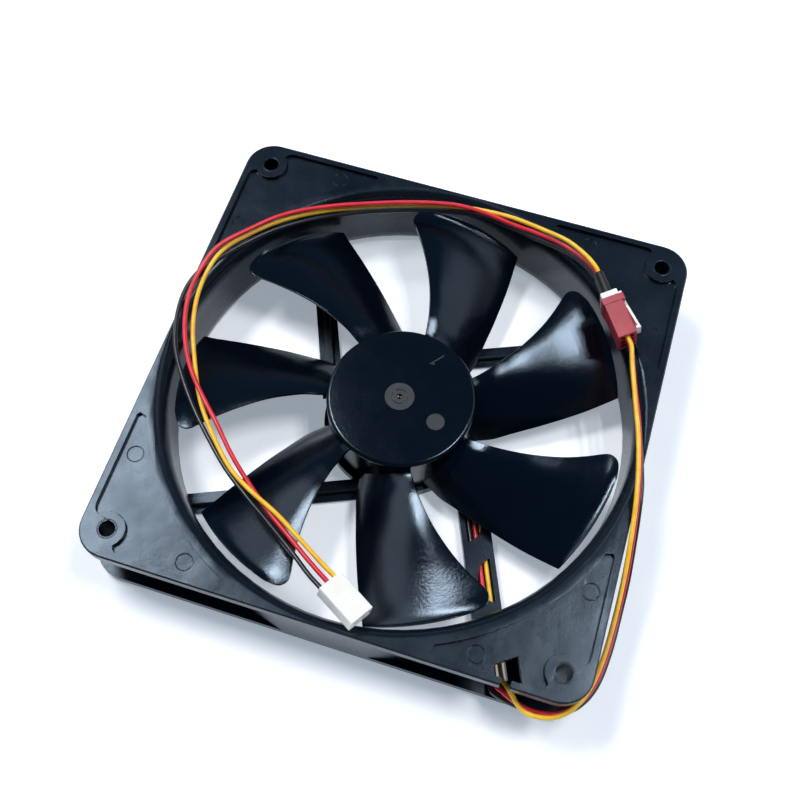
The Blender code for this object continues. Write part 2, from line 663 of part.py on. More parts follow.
# The extension's wires, from the heat-shrink sleeve round the far side of the frame
EXTENSION_ROUTES = {
    "yellow": [
        (42.6, 52.4, 31.8), (38.7, 56.1, 30.8), (32.9, 59.8, 29.6), (25.3, 61.9, 28.8),
        (15.5, 63.8, 28.0), (7.5, 64.5, 26.9), (-0.9, 63.8, 26.5), (-10.7, 61.5, 26.3),
        (-20.2, 58.5, 26.2), (-30.1, 54.7, 26.2), (-39.2, 50.5, 26.2), (-47.4, 45.7, 26.2),
        (-54.0, 40.4, 26.3), (-60.1, 33.7, 26.4), (-63.4, 28.3, 27.4), (-65.1, 23.0, 27.7),
        (-66.0, 16.1, 27.0), (-65.2, 8.2, 27.0), (-62.7, -0.4, 26.9), (-58.8, -9.0, 26.4),
        (-54.1, -17.9, 26.0), (-49.2, -24.7, 26.2), (-42.4, -32.1, 26.9), (-36.1, -37.7, 27.5),
        (-28.8, -41.9, 28.1), (-20.1, -45.8, 28.2), (-11.8, -50.5, 28.1), (-4.1, -54.8, 27.4),
    ],
    "red": [
        (42.8, 52.6, 29.6), (38.9, 55.7, 28.8), (32.4, 59.2, 27.7), (24.7, 61.1, 27.2),
        (16.2, 62.0, 27.2), (7.3, 62.9, 28.0), (-1.1, 63.0, 28.2), (-9.5, 61.5, 28.1),
        (-19.1, 58.7, 28.0), (-28.5, 55.2, 28.0), (-37.7, 51.4, 28.0), (-46.2, 47.0, 28.0),
        (-52.7, 42.4, 28.0), (-58.5, 36.2, 28.2), (-63.7, 29.4, 28.9), (-66.3, 24.5, 28.8),
        (-67.8, 17.2, 28.0), (-67.8, 9.7, 27.7), (-66.0, 2.0, 27.5), (-62.6, -5.8, 27.6),
        (-58.0, -12.9, 27.8), (-52.3, -19.2, 28.0), (-45.1, -26.1, 28.0), (-38.4, -32.9, 27.4),
        (-31.6, -38.7, 26.7), (-24.0, -44.5, 26.5), (-16.1, -49.7, 26.9), (-7.7, -55.1, 27.4),
    ],
    "black": [
        (43.4, 52.3, 27.2), (39.0, 55.7, 26.6), (32.7, 58.6, 25.9), (23.9, 60.4, 25.5),
        (14.0, 61.9, 25.5), (5.7, 63.2, 25.3), (-2.2, 62.6, 24.9), (-11.5, 60.5, 24.6),
        (-21.0, 57.4, 24.6), (-30.3, 53.7, 24.6), (-39.3, 49.3, 24.7), (-46.8, 44.4, 25.0),
        (-53.6, 38.5, 25.5), (-59.4, 31.7, 25.9), (-64.0, 25.7, 26.0), (-68.0, 20.1, 26.0),
        (-69.9, 13.6, 26.0), (-69.8, 6.7, 26.0), (-67.8, -1.6, 26.0), (-64.5, -8.8, 26.0),
        (-59.0, -16.5, 25.9), (-52.8, -23.7, 25.6), (-45.6, -30.7, 25.5), (-38.5, -37.0, 25.7),
        (-30.3, -42.8, 26.0), (-21.9, -48.1, 26.1), (-13.5, -53.6, 26.4), (-7.1, -58.2, 27.4),
    ],
}


def build_wires(colours):
    for name, lane in LANES.items():
        route = [connector_point(PIN_CONNECTOR, x, 0.0, lane) for x in (4.0, 6.6, 9.2)]
        route += MOTOR_ROUTES[name]
        offset = CHANNEL_OFFSETS[name]
        route += [strut_point(72.3, offset, 2.4)]
        route += [strut_point(along, offset, 2.3) for along in (68, 60, 50, 40, 30, 22)]
        route += [strut_point(along, across, 2.3) for along, across in BOARD_ENDS[name]]
        add_wire(f"motor_wire_{name}", route, colours[name])

        route = [connector_point(PIN_CONNECTOR, x, 0.0, lane) for x in (-6.4, -8.7, -12.2, -15.6)]
        route += EXTENSION_ROUTES[name]
        route += [connector_point(END_CONNECTOR, x, lane, 0.0) for x in (-6.6, -4.3)]
        add_wire(f"extension_wire_{name}", route, colours[name])


def main():
    for old in list(bpy.data.objects):
        bpy.data.objects.remove(old, do_unlink=True)
    frame_black = make_material("frame_plastic", (0.012, 0.018, 0.024), 0.45)
    blade_black = make_material("impeller_plastic", (0.006, 0.009, 0.013), 0.3)
    white = make_material("white_nylon", (0.80, 0.79, 0.76), 0.45)
    red = make_material("red_nylon", (0.45, 0.07, 0.09), 0.45)
    steel = make_material("bright_steel", (0.62, 0.62, 0.60), 0.3, 1.0)
    iron = make_material("stator_iron", (0.23, 0.23, 0.24), 0.45, 1.0)
    copper = make_material("enamelled_copper", (0.55, 0.20, 0.07), 0.35, 1.0)
    bronze = make_material("bearing_bronze", (0.55, 0.38, 0.16), 0.4, 1.0)
    board_green = make_material("board_green", (0.02, 0.16, 0.06), 0.4)
    chip_black = make_material("chip_black", (0.015, 0.015, 0.016), 0.5)
    rubber = make_material("magnet_rubber", (0.05, 0.05, 0.05), 0.7)
    paper = make_material("label_film", (0.72, 0.73, 0.74), 0.35)
    sleeve_black = make_material("sleeve_black", (0.015, 0.015, 0.017), 0.55)
    wire_colours = {
        "yellow": make_material("wire_yellow", (0.90, 0.55, 0.03), 0.4),
        "red": make_material("wire_red", (0.75, 0.02, 0.04), 0.4),
        "black": make_material("wire_black", (0.010, 0.010, 0.013), 0.4),
    }

    build_frame(frame_black)
    build_impeller(blade_black)
    build_motor(steel, iron, copper, board_green, white, chip_black, bronze, rubber, paper)
    build_pin_connector(red, white, steel, sleeve_black)
    build_end_connector(white, steel)
    build_wires(wire_colours)


main()
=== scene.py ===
# %% [markdown]
# # A case fan and its leads
#
# This script dresses a finished model of a 140 mm computer case fan. The model comes as a fixed
# frame: its solid parts are already in place, in metres, with the fan lying on its back and +Z
# pointing out of its front. Here each part gets its finish, and each part that a plain solid
# can't show well, such as a wire or a blade, is made again in finer detail.

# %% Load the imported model
import math

import bmesh
import bpy
from mathutils import Matrix, Vector


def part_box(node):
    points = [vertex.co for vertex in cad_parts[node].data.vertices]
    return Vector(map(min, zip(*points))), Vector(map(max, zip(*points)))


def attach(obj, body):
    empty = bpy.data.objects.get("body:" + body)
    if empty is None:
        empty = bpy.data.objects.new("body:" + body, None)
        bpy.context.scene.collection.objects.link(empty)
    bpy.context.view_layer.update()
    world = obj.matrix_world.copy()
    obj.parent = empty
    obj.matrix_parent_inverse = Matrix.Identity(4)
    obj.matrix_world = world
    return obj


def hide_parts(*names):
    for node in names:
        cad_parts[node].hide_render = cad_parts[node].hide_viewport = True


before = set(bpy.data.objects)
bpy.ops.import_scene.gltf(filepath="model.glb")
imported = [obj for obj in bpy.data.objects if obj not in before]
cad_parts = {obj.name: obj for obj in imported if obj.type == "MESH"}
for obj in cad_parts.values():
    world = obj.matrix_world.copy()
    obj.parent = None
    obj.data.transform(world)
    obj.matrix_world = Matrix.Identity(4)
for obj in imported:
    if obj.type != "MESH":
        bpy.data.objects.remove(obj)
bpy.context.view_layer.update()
MM = 0.001

# %% [markdown]
# ## The camera
#
# A camera that stands close to a flat object makes its near edge larger than its far edge. So
# both matter here: the place of the camera, about 0.3 m away, and its lens. The direction is
# given the way a photographer would say it: how far round, how high, and a slight tilt.

# %% Camera
CAMERA_PLACE = Vector((0.033867, -0.116536, 0.284571))
CAMERA_AZIMUTH = math.radians(16.3665)
CAMERA_ELEVATION = math.radians(65.4938)
CAMERA_ROLL = math.radians(1.1587)
CAMERA_LENS = 45.718
SENSOR_WIDTH = 36.0


def add_camera():
    backward = Vector((
        math.sin(CAMERA_AZIMUTH) * math.cos(CAMERA_ELEVATION),
        -math.cos(CAMERA_AZIMUTH) * math.cos(CAMERA_ELEVATION),
        math.sin(CAMERA_ELEVATION),
    ))
    level = Vector((math.cos(CAMERA_AZIMUTH), math.sin(CAMERA_AZIMUTH), 0.0))
    upward = backward.cross(level)
    right = level * math.cos(CAMERA_ROLL) + upward * math.sin(CAMERA_ROLL)
    upward = backward.cross(right)
    lens = bpy.data.cameras.new("camera")
    lens.lens = CAMERA_LENS
    lens.sensor_width = SENSOR_WIDTH
    camera = bpy.data.objects.new("camera", lens)
    turn = Matrix((right, upward, backward)).transposed()
    camera.matrix_world = Matrix.Translation(CAMERA_PLACE) @ turn.to_4x4()
    bpy.context.scene.collection.objects.link(camera)
    bpy.context.scene.camera = camera


add_camera()
print("camera is", round(CAMERA_PLACE.length, 3), "m from the fan's middle")

# %% [markdown]
# ## Making a finish
#
# Every finish here is a Principled BSDF with a few procedural nodes in front of it. The nodes
# work in the object's own coordinates, so a pattern has a real size: a noise scale of 1000 is a
# grain of about a millimetre. A few helpers keep each recipe short: they start a material, make
# noise, and turn the noise into a colour range, into a roughness or into bump.

# %% Finish helpers
def start_finish(name, colour, roughness, metallic=0.0, **sockets):
    """A new material and its shader, with its even values set on the shader's own sockets."""
    finish = bpy.data.materials.new(name)
    finish.use_nodes = True
    shader = finish.node_tree.nodes["Principled BSDF"]
    shader.inputs["Base Color"].default_value = (*colour, 1.0)
    shader.inputs["Roughness"].default_value = roughness
    shader.inputs["Metallic"].default_value = metallic
    for socket, value in sockets.items():
        shader.inputs[socket.replace("_", " ")].default_value = value
    return finish, shader


def add_node(finish, kind, **values):
    node = finish.node_tree.nodes.new(kind)
    for name, value in values.items():
        setattr(node, name, value)
    return node


def place_of(finish):
    """The point on the surface, in the object's own coordinates."""
    found = finish.node_tree.nodes.get("place")
    if found is None:
        found = add_node(finish, "ShaderNodeTexCoord", name="place")
    return found.outputs["Object"]


def noise(finish, scale, detail=4.0, roughness=0.5):
    node = add_node(finish, "ShaderNodeTexNoise")
    node.inputs["Scale"].default_value = scale
    node.inputs["Detail"].default_value = detail
    node.inputs["Roughness"].default_value = roughness
    finish.node_tree.links.new(place_of(finish), node.inputs["Vector"])
    return node.outputs["Fac"]


def ramp(finish, source, stops):
    """A value turned into colours: stops are (position, colour)."""
    node = add_node(finish, "ShaderNodeValToRGB")
    while len(node.color_ramp.elements) < len(stops):
        node.color_ramp.elements.new(0.5)
    for element, (position, colour) in zip(node.color_ramp.elements, stops):
        element.position = position
        element.color = (*colour, 1.0)
    finish.node_tree.links.new(source, node.inputs["Fac"])
    return node.outputs["Color"]


def spread(finish, source, low, high):
    """A value from 0 to 1 moved to the range from low to high."""
    node = add_node(finish, "ShaderNodeMapRange")
    node.inputs["To Min"].default_value = low
    node.inputs["To Max"].default_value = high
    finish.node_tree.links.new(source, node.inputs["Value"])
    return node.outputs["Result"]


def bump(finish, shader, source, height, strength):
    """Adds a relief of the given height in metres, on top of any that is there already."""
    node = add_node(finish, "ShaderNodeBump")
    node.inputs["Strength"].default_value = strength
    node.inputs["Distance"].default_value = height
    links = finish.node_tree.links
    links.new(source, node.inputs["Height"])
    before = shader.inputs["Normal"].links
    if before:
        links.new(before[0].from_socket, node.inputs["Normal"])
    links.new(node.outputs["Normal"], shader.inputs["Normal"])


def feed(finish, source, shader, socket):
    finish.node_tree.links.new(source, shader.inputs[socket])


# %% [markdown]
# ## The wires' insulation
#
# A wire of this size is stranded copper in soft PVC. The plastic is a little glossy, and it
# shows faint waves from being extruded and handled. One noise is a few millimetres across, for
# the waves, and another is tenths of a millimetre across, for the fine surface.

# %% Insulation finishes
def make_insulation(name, dark, light, roughness):
    finish, shader = start_finish(name, light, roughness, Specular_IOR_Level=0.5,
                                  Coat_Weight=0.15, Coat_Roughness=0.2)
    waves = noise(finish, 260.0, 3.0)
    feed(finish, ramp(finish, waves, [(0.3, dark), (0.7, light)]), shader, "Base Color")
    fine = noise(finish, 2600.0, 2.0)
    feed(finish, spread(finish, fine, roughness - 0.06, roughness + 0.1), shader, "Roughness")
    bump(finish, shader, waves, 0.00008, 0.5)
    bump(finish, shader, fine, 0.00001, 0.4)
    return finish


insulation = {
    "yellow": make_insulation("yellow_insulation", (0.95, 0.44, 0.015), (1.0, 0.66, 0.03), 0.38),
    "red": make_insulation("red_insulation", (0.62, 0.010, 0.025), (0.80, 0.020, 0.045), 0.36),
    "black": make_insulation("black_insulation", (0.006, 0.006, 0.008), (0.014, 0.014, 0.018), 0.3),
}
print("insulation:", [finish.name for finish in insulation.values()])

# %% [markdown]
# ## The routes of the wires
#
# A wire is a curve with a round bevel. Its route is a short list of given points, and a smooth
# curve is drawn through them. The ends must run straight into the connectors, so they are
# worked out from each connector's own place, turn and tilt.

# %% Connector and strut places
WIRE_DIAMETER = 1.3
WIRE_PITCH = 2.5
PIN_CONNECTOR = ((53.55, 37.27, 29.9), -55.7, 12.0)
END_CONNECTOR = ((4.25, -62.1, 27.6), -30.0, -16.0)
WIRE_STRUT_TURN = -67.0
LANES = {"yellow": WIRE_PITCH, "red": 0.0, "black": -WIRE_PITCH}
CHANNEL_OFFSETS = {"yellow": 19.85, "red": 18.1, "black": 16.4}
CHANNEL_HEIGHT = 2.3
CHANNEL_STOPS = (68, 60, 50, 40, 30, 22)
CHANNEL_MOUTH = (72.3, 2.4)


def connector_matrix(connector):
    """Where a connector is, as a matrix in millimetres."""
    middle, yaw, roll = connector
    turn = Matrix.Rotation(math.radians(yaw), 4, "Z") @ Matrix.Rotation(math.radians(roll), 4, "X")
    return Matrix.Translation(Vector(middle)) @ turn


def connector_point(connector, x, y, z):
    return connector_matrix(connector) @ Vector((x, y, z))


def strut_point(along, offset, height):
    turn = Matrix.Rotation(math.radians(WIRE_STRUT_TURN), 3, "Z")
    return turn @ Vector((along, offset, height))


strut_middle = strut_point(45, CHANNEL_OFFSETS["red"], CHANNEL_HEIGHT)
print("wire strut's middle, mm:", [round(v, 1) for v in strut_middle])

# %% The fan's own wires
MOTOR_ROUTES = {
    "yellow": [
        (59.6, 25.2, 31.3), (61.6, 19.0, 30.4), (63.7, 12.4, 29.8), (65.4, 7.1, 29.5),
        (66.9, 1.3, 29.3), (68.2, -5.0, 29.1), (69.2, -11.0, 28.6), (70.1, -16.8, 27.1),
        (70.9, -23.4, 25.2), (71.9, -32.2, 21.4), (72.2, -43.0, 19.1), (71.8, -53.8, 17.9),
        (70.4, -61.8, 17.3), (67.5, -68.4, 17.1), (63.3, -72.1, 17.0), (58.4, -73.3, 16.8),
        (54.7, -72.5, 16.2), (52.2, -70.1, 15.0), (50.2, -67.3, 11.0), (48.8, -65.0, 6.3),
        (47.6, -61.7, 3.3),
    ],
    "red": [
        (60.2, 25.8, 29.1), (62.4, 19.0, 28.4), (64.6, 12.6, 28.0), (66.4, 6.3, 27.8),
        (67.9, 0.2, 27.7), (69.2, -6.5, 27.5), (70.3, -13.0, 26.4), (71.5, -21.2, 23.8),
        (72.7, -31.4, 19.9), (73.0, -41.7, 17.5), (72.7, -52.6, 16.3), (71.2, -61.4, 15.8),
        (68.0, -67.5, 15.5), (63.5, -70.9, 15.3), (58.4, -71.9, 15.0), (54.1, -71.2, 14.4),
        (51.2, -70.0, 12.7), (49.2, -68.7, 10.5), (47.8, -67.8, 8.3), (47.0, -65.7, 5.0),
        (45.9, -62.2, 3.0),
    ],
    "black": [
        (60.4, 25.0, 26.7), (62.9, 18.3, 26.4), (65.5, 11.5, 26.2), (67.3, 5.0, 26.1),
        (69.0, -1.5, 26.1), (70.5, -8.0, 26.0), (71.5, -14.5, 24.7), (72.7, -23.4, 21.1),
        (73.6, -32.4, 18.0), (73.8, -41.7, 15.9), (73.6, -51.6, 14.8), (72.3, -60.6, 14.2),
        (69.2, -66.8, 13.9), (64.6, -70.4, 13.8), (59.3, -71.8, 13.4), (54.6, -71.6, 12.5),
        (51.2, -71.0, 11.0), (48.9, -70.2, 9.2), (47.1, -69.2, 7.5), (45.9, -67.3, 5.6),
        (44.9, -64.6, 3.8),
    ],
}
BOARD_ENDS = {
    "yellow": [(16.0, 19.75), (13.2, 19.1), (10.8, 17.6), (9.2, 15.8), (8.2, 14.4)],
    "red": [(16.5, 17.9), (14.0, 17.1), (11.9, 15.6), (10.6, 13.8)],
    "black": [(17.0, 16.3), (15.0, 15.8), (13.3, 14.4), (12.4, 12.4), (12.2, 11.4)],
}
print("points chosen for the fan's wires:", {k: len(v) for k, v in MOTOR_ROUTES.items()})

# %% The extension's wires
EXTENSION_ROUTES = {
    "yellow": [
        (42.6, 52.4, 31.8), (38.7, 56.1, 30.8), (32.9, 59.8, 29.6), (25.3, 61.9, 28.8),
        (15.5, 63.8, 28.0), (7.5, 64.5, 26.9), (-0.9, 63.8, 26.5), (-10.7, 61.5, 26.3),
        (-20.2, 58.5, 26.2), (-30.1, 54.7, 26.2), (-39.2, 50.5, 26.2), (-47.4, 45.7, 26.2),
        (-54.0, 40.4, 26.3), (-60.1, 33.7, 26.4), (-63.4, 28.3, 27.4), (-65.1, 23.0, 27.7),
        (-66.0, 16.1, 27.0), (-65.2, 8.2, 27.0), (-62.7, -0.4, 26.9), (-58.8, -9.0, 26.4),
        (-54.1, -17.9, 26.0), (-49.2, -24.7, 26.2), (-42.4, -32.1, 26.9), (-36.1, -37.7, 27.5),
        (-28.8, -41.9, 28.1), (-20.1, -45.8, 28.2), (-11.8, -50.5, 28.1), (-4.1, -54.8, 27.4),
    ],
    "red": [
        (42.8, 52.6, 29.6), (38.9, 55.7, 28.8), (32.4, 59.2, 27.7), (24.7, 61.1, 27.2),
        (16.2, 62.0, 27.2), (7.3, 62.9, 28.0), (-1.1, 63.0, 28.2), (-9.5, 61.5, 28.1),
        (-19.1, 58.7, 28.0), (-28.5, 55.2, 28.0), (-37.7, 51.4, 28.0), (-46.2, 47.0, 28.0),
        (-52.7, 42.4, 28.0), (-58.5, 36.2, 28.2), (-63.7, 29.4, 28.9), (-66.3, 24.5, 28.8),
        (-67.8, 17.2, 28.0), (-67.8, 9.7, 27.7), (-66.0, 2.0, 27.5), (-62.6, -5.8, 27.6),
        (-58.0, -12.9, 27.8), (-52.3, -19.2, 28.0), (-45.1, -26.1, 28.0), (-38.4, -32.9, 27.4),
        (-31.6, -38.7, 26.7), (-24.0, -44.5, 26.5), (-16.1, -49.7, 26.9), (-7.7, -55.1, 27.4),
    ],
    "black": [
        (43.4, 52.3, 27.2), (39.0, 55.7, 26.6), (32.7, 58.6, 25.9), (23.9, 60.4, 25.5),
        (14.0, 61.9, 25.5), (5.7, 63.2, 25.3), (-2.2, 62.6, 24.9), (-11.5, 60.5, 24.6),
        (-21.0, 57.4, 24.6), (-30.3, 53.7, 24.6), (-39.3, 49.3, 24.7), (-46.8, 44.4, 25.0),
        (-53.6, 38.5, 25.5), (-59.4, 31.7, 25.9), (-64.0, 25.7, 26.0), (-68.0, 20.1, 26.0),
        (-69.9, 13.6, 26.0), (-69.8, 6.7, 26.0), (-67.8, -1.6, 26.0), (-64.5, -8.8, 26.0),
        (-59.0, -16.5, 25.9), (-52.8, -23.7, 25.6), (-45.6, -30.7, 25.5), (-38.5, -37.0, 25.7),
        (-30.3, -42.8, 26.0), (-21.9, -48.1, 26.1), (-13.5, -53.6, 26.4), (-7.1, -58.2, 27.4),
    ],
}
print("points chosen for the extension:", {k: len(v) for k, v in EXTENSION_ROUTES.items()})

# %% [markdown]
# ## Drawing a wire
#
# Blender can bevel a Bezier curve, but its handles would have to be set one by one. It is easier
# to work out closely spaced points on a smooth curve and to give those to a straight-sided
# spline: at a point every 0.8 mm the short sides can't be seen.

# %% Smooth routes and wires
ROUTE_STEP = 0.8
ROUTE_PARTS = 16
WIRE_SIDES = 5
PIN_END_STARTS = (4.0, 6.6, 9.2)
PLUG_END_STARTS = (-6.4, -8.7, -12.2, -15.6)
FAR_END_STOPS = (-6.6, -4.3)


def smooth_curve(points, parts):
    """Points on a smooth curve through the given ones, with so many parts to each stretch."""
    known = [Vector(point) for point in points]
    ends = [2 * known[0] - known[1]] + known + [2 * known[-1] - known[-2]]
    fine = []
    for a, b, c, d in zip(ends, ends[1:], ends[2:], ends[3:]):
        for part in range(parts):
            t = part / parts
            fine.append(0.5 * (2 * b + (c - a) * t + (2 * a - 5 * b + 4 * c - d) * t ** 2
                               + (3 * b - a - 3 * c + d) * t ** 3))
    return fine + [known[-1]]


def smooth_route(points, step):
    """Evenly spaced points on a smooth curve through the route points, and its length."""
    fine = smooth_curve(points, ROUTE_PARTS)
    walked = [0.0]
    for a, b in zip(fine, fine[1:]):
        walked.append(walked[-1] + (b - a).length)
    count = round(walked[-1] / step)
    route = []
    at = 0
    for i in range(count + 1):
        distance = walked[-1] * i / count
        while at < len(walked) - 2 and walked[at + 1] < distance:
            at += 1
        share = (distance - walked[at]) / (walked[at + 1] - walked[at])
        route.append(fine[at].lerp(fine[at + 1], min(share, 1.0)))
    return route, walked[-1]


def add_wire(name, points, finish):
    route, length = smooth_route(points, ROUTE_STEP)
    curve = bpy.data.curves.new(name, "CURVE")
    curve.dimensions = "3D"
    curve.bevel_depth = WIRE_DIAMETER / 2 * MM
    curve.bevel_resolution = WIRE_SIDES
    curve.use_fill_caps = True
    spline = curve.splines.new("POLY")
    spline.points.add(len(route) - 1)
    for place, point in zip(spline.points, route):
        place.co = (*(point * MM), 1.0)
    spline.use_smooth = True
    curve.materials.append(finish)
    wire = bpy.data.objects.new(name, curve)
    bpy.context.scene.collection.objects.link(wire)
    return wire, route[0] * MM, length * MM


def motor_wire_points(colour):
    points = [connector_point(PIN_CONNECTOR, x, 0.0, LANES[colour]) for x in PIN_END_STARTS]
    points += MOTOR_ROUTES[colour]
    offset = CHANNEL_OFFSETS[colour]
    mouth, mouth_height = CHANNEL_MOUTH
    points += [strut_point(mouth, offset, mouth_height)]
    points += [strut_point(along, offset, CHANNEL_HEIGHT) for along in CHANNEL_STOPS]
    points += [strut_point(along, across, CHANNEL_HEIGHT) for along, across in BOARD_ENDS[colour]]
    return points


def extension_wire_points(colour):
    lane = LANES[colour]
    points = [connector_point(PIN_CONNECTOR, x, 0.0, lane) for x in PLUG_END_STARTS]
    points += EXTENSION_ROUTES[colour]
    points += [connector_point(END_CONNECTOR, x, lane, 0.0) for x in FAR_END_STOPS]
    return points


# %% [markdown]
# The fan's wires start at the circuit board and end in the red housing. The extension's wires
# start in the white plug and end in the white housing. Each wire takes the place of a fixed
# part, which is hidden, and its length is printed.

# %% Lay the wires
def lay_wire(name, stands_for, colour, points):
    wire, start, length = add_wire(name, points, insulation[colour])
    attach(wire, "frame")
    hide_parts(stands_for)
    return length


wires = {}
for number, colour in enumerate(LANES, 1):
    points = list(reversed(motor_wire_points(colour)))
    wires[f"fan_wire_{colour}"] = lay_wire(f"fan_wire_{colour}", f"motor_wire_{colour}", colour,
                                           points)
for number, colour in enumerate(LANES, 1):
    points = extension_wire_points(colour)
    wires[f"lead_wire_{colour}"] = lay_wire(f"lead_wire_{colour}", f"extension_wire_{colour}", colour,
                                            points)
print("wire lengths, mm:", {name: round(length / MM) for name, length in wires.items()})

# %% [markdown]
# ## The floor and the light
#
# The fan lies on a white sheet that glows a little, as on a light table, which keeps its shadow
# faint. Black plastic shows little but reflections, so the lights are placed by what they are
# mirrored in: a bright strip over the left side and three thin tubes over the right side draw
# the pale streaks, and the surround between them stays dark blue-grey. Low down the surround
# turns pale, so that a view from the side doesn't look past the sheet into the dark.

# %% Floor
FLOOR_HALF = 3.0
FLOOR_DROP = 0.0002
FLOOR_GLOW = 0.36


def add_floor():
    half = FLOOR_HALF
    mesh = bpy.data.meshes.new("floor")
    corners = [(-half, -half, 0.0), (half, -half, 0.0), (half, half, 0.0), (-half, half, 0.0)]
    mesh.from_pydata(corners, [], [(0, 1, 2, 3)])
    floor = bpy.data.objects.new("floor", mesh)
    floor.location.z = -FLOOR_DROP
    bpy.context.scene.collection.objects.link(floor)
    finish, shader = start_finish("white_sheet", (0.93, 0.94, 0.96), 0.6,
                                  Emission_Color=(0.80, 0.90, 1.0, 1.0), Emission_Strength=FLOOR_GLOW)
    paper = noise(finish, 90.0, 5.0)
    feed(finish, ramp(finish, paper, [(0.3, (0.91, 0.925, 0.95)), (0.7, (0.95, 0.955, 0.97))]),
         shader, "Base Color")
    mesh.materials.append(finish)


add_floor()
print("floor, m:", 2 * FLOOR_HALF, "square")

# %% Lights
def add_panel(name, place, aim, size, power):
    """A rectangular soft light that faces a point."""
    light = bpy.data.lights.new(name, "AREA")
    light.shape = "RECTANGLE"
    light.size, light.size_y = size
    light.energy = power
    panel = bpy.data.objects.new(name, light)
    panel.location = place
    away = Vector(place) - Vector(aim)
    panel.rotation_euler = away.to_track_quat("Z", "Y").to_euler()
    bpy.context.scene.collection.objects.link(panel)


HORIZON_BAND = 0.30
PALE_HORIZON = (0.82, 0.88, 0.95, 1.0)
DARK_FRONT = (0.02, 0.05, 0.10, 1.0)
DARK_BACK = (0.09, 0.15, 0.24, 1.0)


def add_sky():
    """A soft blue-grey surround, darkest in front of the fan, with a pale band low down."""
    world = bpy.data.worlds.new("studio")
    world.use_nodes = True
    nodes, link = world.node_tree.nodes, world.node_tree.links.new
    direction = nodes.new("ShaderNodeTexCoord")
    split = nodes.new("ShaderNodeSeparateXYZ")
    shade = nodes.new("ShaderNodeValToRGB")
    height = nodes.new("ShaderNodeMapRange")
    height.interpolation_type = "SMOOTHSTEP"
    height.inputs["From Max"].default_value = HORIZON_BAND
    band = nodes.new("ShaderNodeMix")
    band.data_type = "RGBA"
    band.inputs["A"].default_value = PALE_HORIZON
    link(direction.outputs["Generated"], split.inputs["Vector"])
    link(split.outputs["Y"], shade.inputs["Fac"])
    link(split.outputs["Z"], height.inputs["Value"])
    link(height.outputs["Result"], band.inputs["Factor"])
    link(shade.outputs["Color"], band.inputs["B"])
    link(band.outputs["Result"], nodes["Background"].inputs["Color"])
    shade.color_ramp.elements[0].color = DARK_FRONT
    shade.color_ramp.elements[1].color = DARK_BACK
    bpy.context.scene.world = world


def panel_place(azimuth, elevation, distance):
    """A place above the fan, from how far round and how high it is in degrees."""
    round_about, up = math.radians(azimuth), math.radians(elevation)
    return (distance * math.cos(round_about) * math.cos(up),
            distance * math.sin(round_about) * math.cos(up), distance * math.sin(up))


PANEL_DISTANCE = 1.1
MIDDLE = (0.0, 0.0, 0.02)
PANELS = (
    # name, azimuth, elevation, width, height, power
    ("left_strip", 158.0, 64.0, 0.38, 0.16, 5.8),
    ("left_low_panel", 170.0, 42.0, 0.85, 0.50, 1.8),
    ("right_tube_1", 24.0, 64.5, 0.36, 0.035, 1.7),
    ("right_tube_2", 24.0, 69.0, 0.34, 0.035, 1.7),
    ("right_tube_3", 24.0, 73.5, 0.32, 0.035, 1.7),
    ("right_low_panel", 38.0, 38.0, 0.80, 0.55, 1.1),
)
add_sky()
for name, azimuth, elevation, width, height, power in PANELS:
    add_panel(name, panel_place(azimuth, elevation, PANEL_DISTANCE), MIDDLE, (width, height),
              power)
bpy.context.scene.view_settings.view_transform = "Standard"
bpy.context.scene.view_settings.look = "None"

# %% [markdown]
# ## The frame's plastic
#
# The frame is one injection moulding in black, glass-filled plastic. Its faces are a little
# glossy and reflect the light panels, but the mould leaves a fine grain, so the reflection is
# broken up. Handling leaves faint smudges, which change only the roughness.

# %% Moulded plastic finish
BLUE_SHEEN = (0.64, 0.81, 1.0, 1.0)


def make_moulded_black():
    finish, shader = start_finish("moulded_black", (0.003, 0.0065, 0.012), 0.27,
                                  Specular_IOR_Level=0.45)
    shader.inputs["Specular Tint"].default_value = BLUE_SHEEN
    smudges = noise(finish, 60.0, 5.0, 0.6)
    feed(finish, ramp(finish, smudges, [(0.3, (0.002, 0.005, 0.009)),
                                        (0.7, (0.004, 0.008, 0.015))]), shader, "Base Color")
    feed(finish, spread(finish, smudges, 0.16, 0.38), shader, "Roughness")
    bump(finish, shader, noise(finish, 70.0, 2.0), 0.0005, 0.5)
    bump(finish, shader, noise(finish, 700.0, 3.0), 0.00003, 0.5)
    bump(finish, shader, noise(finish, 2600.0, 2.0), 0.00002, 0.8)
    return finish


moulded_black = make_moulded_black()
print("frame finish nodes:", len(moulded_black.node_tree.nodes))

# %% [markdown]
# ## Dressing a part of the fixed frame
#
# The imported parts are made of flat triangles. A small geometry-nodes group welds them and lets
# only the sharp edges stay sharp, so that round walls shade round. A bevel then softens the
# edges of the parts that show up close, since no moulded edge is perfectly sharp. Weighted
# normals keep the large faces between the bevels looking flat.

# %% Smooth sides and soft edges
SHARP_ANGLE = math.radians(32)
BEVEL_ANGLE = math.radians(40)
BEVEL_STEPS = 2
WELD_DISTANCE = 2e-6


